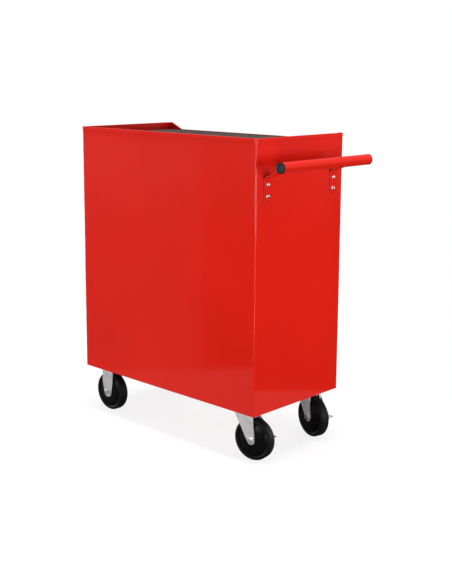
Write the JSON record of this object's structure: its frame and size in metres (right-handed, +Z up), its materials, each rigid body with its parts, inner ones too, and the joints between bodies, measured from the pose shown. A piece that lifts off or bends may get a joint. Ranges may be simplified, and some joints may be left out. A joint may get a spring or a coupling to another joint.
{
  "type": "rolling tool chest",
  "caption": "Rolling sheet-steel tool chest with full-width drawers, a matted top tray, a tube push handle at one end, and swivel and fixed casters.",
  "frame": {"origin": "on the floor under the middle of the whole chest, handle and drawer pulls included", "axes": "+Z up; the drawers open towards -Y; +X is to the right when facing the drawers, and the push handle is at the -X end"},
  "size_m": [0.6949, 0.335, 0.764],
  "materials": {
    "red_paint": "gloss",
    "zinc_steel": "satin",
    "aluminium": "satin",
    "mat_rubber": "matte",
    "black_cap": "satin",
    "black_wheel": "satin",
    "black_tyre": "satin",
    "plated_lock": "polished"
  },
  "bodies": {
    "cabinet": {"body_wrap": "red_paint", "base_pan": "red_paint", "top_tray": "red_paint", "tray_mat": "mat_rubber", "front_rail": "red_paint", "handle_tube": "red_paint", "handle_end_caps": "black_cap", "handle_brackets": "red_paint", "handle_screws": "zinc_steel", "slide_posts": "zinc_steel", "cabinet_slides": "zinc_steel", "lock_barrel": "plated_lock", "caster_fasteners": "zinc_steel", "fixed_caster_forks": "zinc_steel", "fixed_caster_axles": "zinc_steel", "swivel_caster_plates": "zinc_steel", "kingpins": "zinc_steel"},
    "drawer_1": {"drawer_1_box": "red_paint", "drawer_1_pull": "aluminium", "drawer_1_liner": "mat_rubber", "drawer_1_runners": "zinc_steel"},
    "drawer_2": {"drawer_2_box": "red_paint", "drawer_2_pull": "aluminium", "drawer_2_liner": "mat_rubber", "drawer_2_runners": "zinc_steel"},
    "drawer_3": {"drawer_3_box": "red_paint", "drawer_3_pull": "aluminium", "drawer_3_liner": "mat_rubber", "drawer_3_runners": "zinc_steel"},
    "drawer_4": {"drawer_4_box": "red_paint", "drawer_4_pull": "aluminium", "drawer_4_liner": "mat_rubber", "drawer_4_runners": "zinc_steel"},
    "drawer_5": {"drawer_5_box": "red_paint", "drawer_5_pull": "aluminium", "drawer_5_liner": "mat_rubber", "drawer_5_runners": "zinc_steel"},
    "drawer_6": {"drawer_6_box": "red_paint", "drawer_6_pull": "aluminium", "drawer_6_liner": "mat_rubber", "drawer_6_runners": "zinc_steel"},
    "swivel_back_wheel": {"swivel_back_wheel_hub": "black_wheel", "swivel_back_tyre": "black_tyre"},
    "swivel_back_caster": {"swivel_back_fork": "zinc_steel", "swivel_back_axle": "zinc_steel"},
    "swivel_back_brake": {"swivel_back_brake_pedal": "zinc_steel"},
    "swivel_front_wheel": {"swivel_front_wheel_hub": "black_wheel", "swivel_front_tyre": "black_tyre"},
    "swivel_front_caster": {"swivel_front_fork": "zinc_steel", "swivel_front_axle": "zinc_steel"},
    "swivel_front_brake": {"swivel_front_brake_pedal": "zinc_steel"},
    "fixed_back_wheel": {"fixed_back_wheel_hub": "black_wheel", "fixed_back_tyre": "black_tyre"},
    "fixed_front_wheel": {"fixed_front_wheel_hub": "black_wheel", "fixed_front_tyre": "black_tyre"},
    "lock_core": {"lock_plug": "plated_lock", "lock_cam": "plated_lock"},
    "lock_bar": {"lock_bar": "zinc_steel"}
  },
  "joints": [
    {"name": "drawer_1_slide", "type": "slide", "parent": "cabinet", "child": "drawer_1", "axis": [0, -1, 0], "range_m": [0, 0.21]},
    {"name": "drawer_2_slide", "type": "slide", "parent": "cabinet", "child": "drawer_2", "axis": [0, -1, 0], "range_m": [0, 0.21]},
    {"name": "drawer_3_slide", "type": "slide", "parent": "cabinet", "child": "drawer_3", "axis": [0, -1, 0], "range_m": [0, 0.21]},
    {"name": "drawer_4_slide", "type": "slide", "parent": "cabinet", "child": "drawer_4", "axis": [0, -1, 0], "range_m": [0, 0.21]},
    {"name": "drawer_5_slide", "type": "slide", "parent": "cabinet", "child": "drawer_5", "axis": [0, -1, 0], "range_m": [0, 0.21]},
    {"name": "drawer_6_slide", "type": "slide", "parent": "cabinet", "child": "drawer_6", "axis": [0, -1, 0], "range_m": [0, 0.21]},
    {"name": "swivel_back_swivel", "type": "hinge", "parent": "cabinet", "child": "swivel_back_caster", "pos_m": [-0.20275, 0.1215, 0.113], "axis": [0, 0, 1], "continuous": true},
    {"name": "swivel_back_wheel_spin", "type": "hinge", "parent": "swivel_back_caster", "child": "swivel_back_wheel", "pos_m": [-0.22652, 0.11816, 0.051], "axis": [-0.1392, 0.9903, 0], "continuous": true},
    {"name": "swivel_back_brake_press", "type": "hinge", "parent": "swivel_back_caster", "child": "swivel_back_brake", "pos_m": [-0.22057, 0.119, 0.1065], "axis": [0.1392, -0.9903, 0], "range_deg": [0, 14]},
    {"name": "swivel_front_swivel", "type": "hinge", "parent": "cabinet", "child": "swivel_front_caster", "pos_m": [-0.20275, -0.1095, 0.113], "axis": [0, 0, 1], "continuous": true},
    {"name": "swivel_front_wheel_spin", "type": "hinge", "parent": "swivel_front_caster", "child": "swivel_front_wheel", "pos_m": [-0.22604, -0.10369, 0.051], "axis": [0.2419, 0.9703, 0], "continuous": true},
    {"name": "swivel_front_brake_press", "type": "hinge", "parent": "swivel_front_caster", "child": "swivel_front_brake", "pos_m": [-0.22021, -0.10515, 0.1065], "axis": [-0.2419, -0.9703, 0], "range_deg": [0, 14]},
    {"name": "fixed_back_wheel_spin", "type": "hinge", "parent": "cabinet", "child": "fixed_back_wheel", "pos_m": [0.29425, 0.1165, 0.051], "axis": [0, 1, 0], "continuous": true},
    {"name": "fixed_front_wheel_spin", "type": "hinge", "parent": "cabinet", "child": "fixed_front_wheel", "pos_m": [0.29425, -0.1045, 0.051], "axis": [0, 1, 0], "continuous": true},
    {"name": "lock_turn", "type": "hinge", "parent": "cabinet", "child": "lock_core", "pos_m": [0.31825, -0.1505, 0.728], "axis": [0, 1, 0], "range_deg": [0, 90]},
    {"name": "lock_bar_slide", "type": "slide", "parent": "cabinet", "child": "lock_bar", "axis": [0, 0, -1], "range_m": [0, 0.01697]}
  ],
  "couplings": [
    {"joint": "lock_turn", "follows": "lock_bar_slide", "rad_per_m": 92.56}
  ]
}
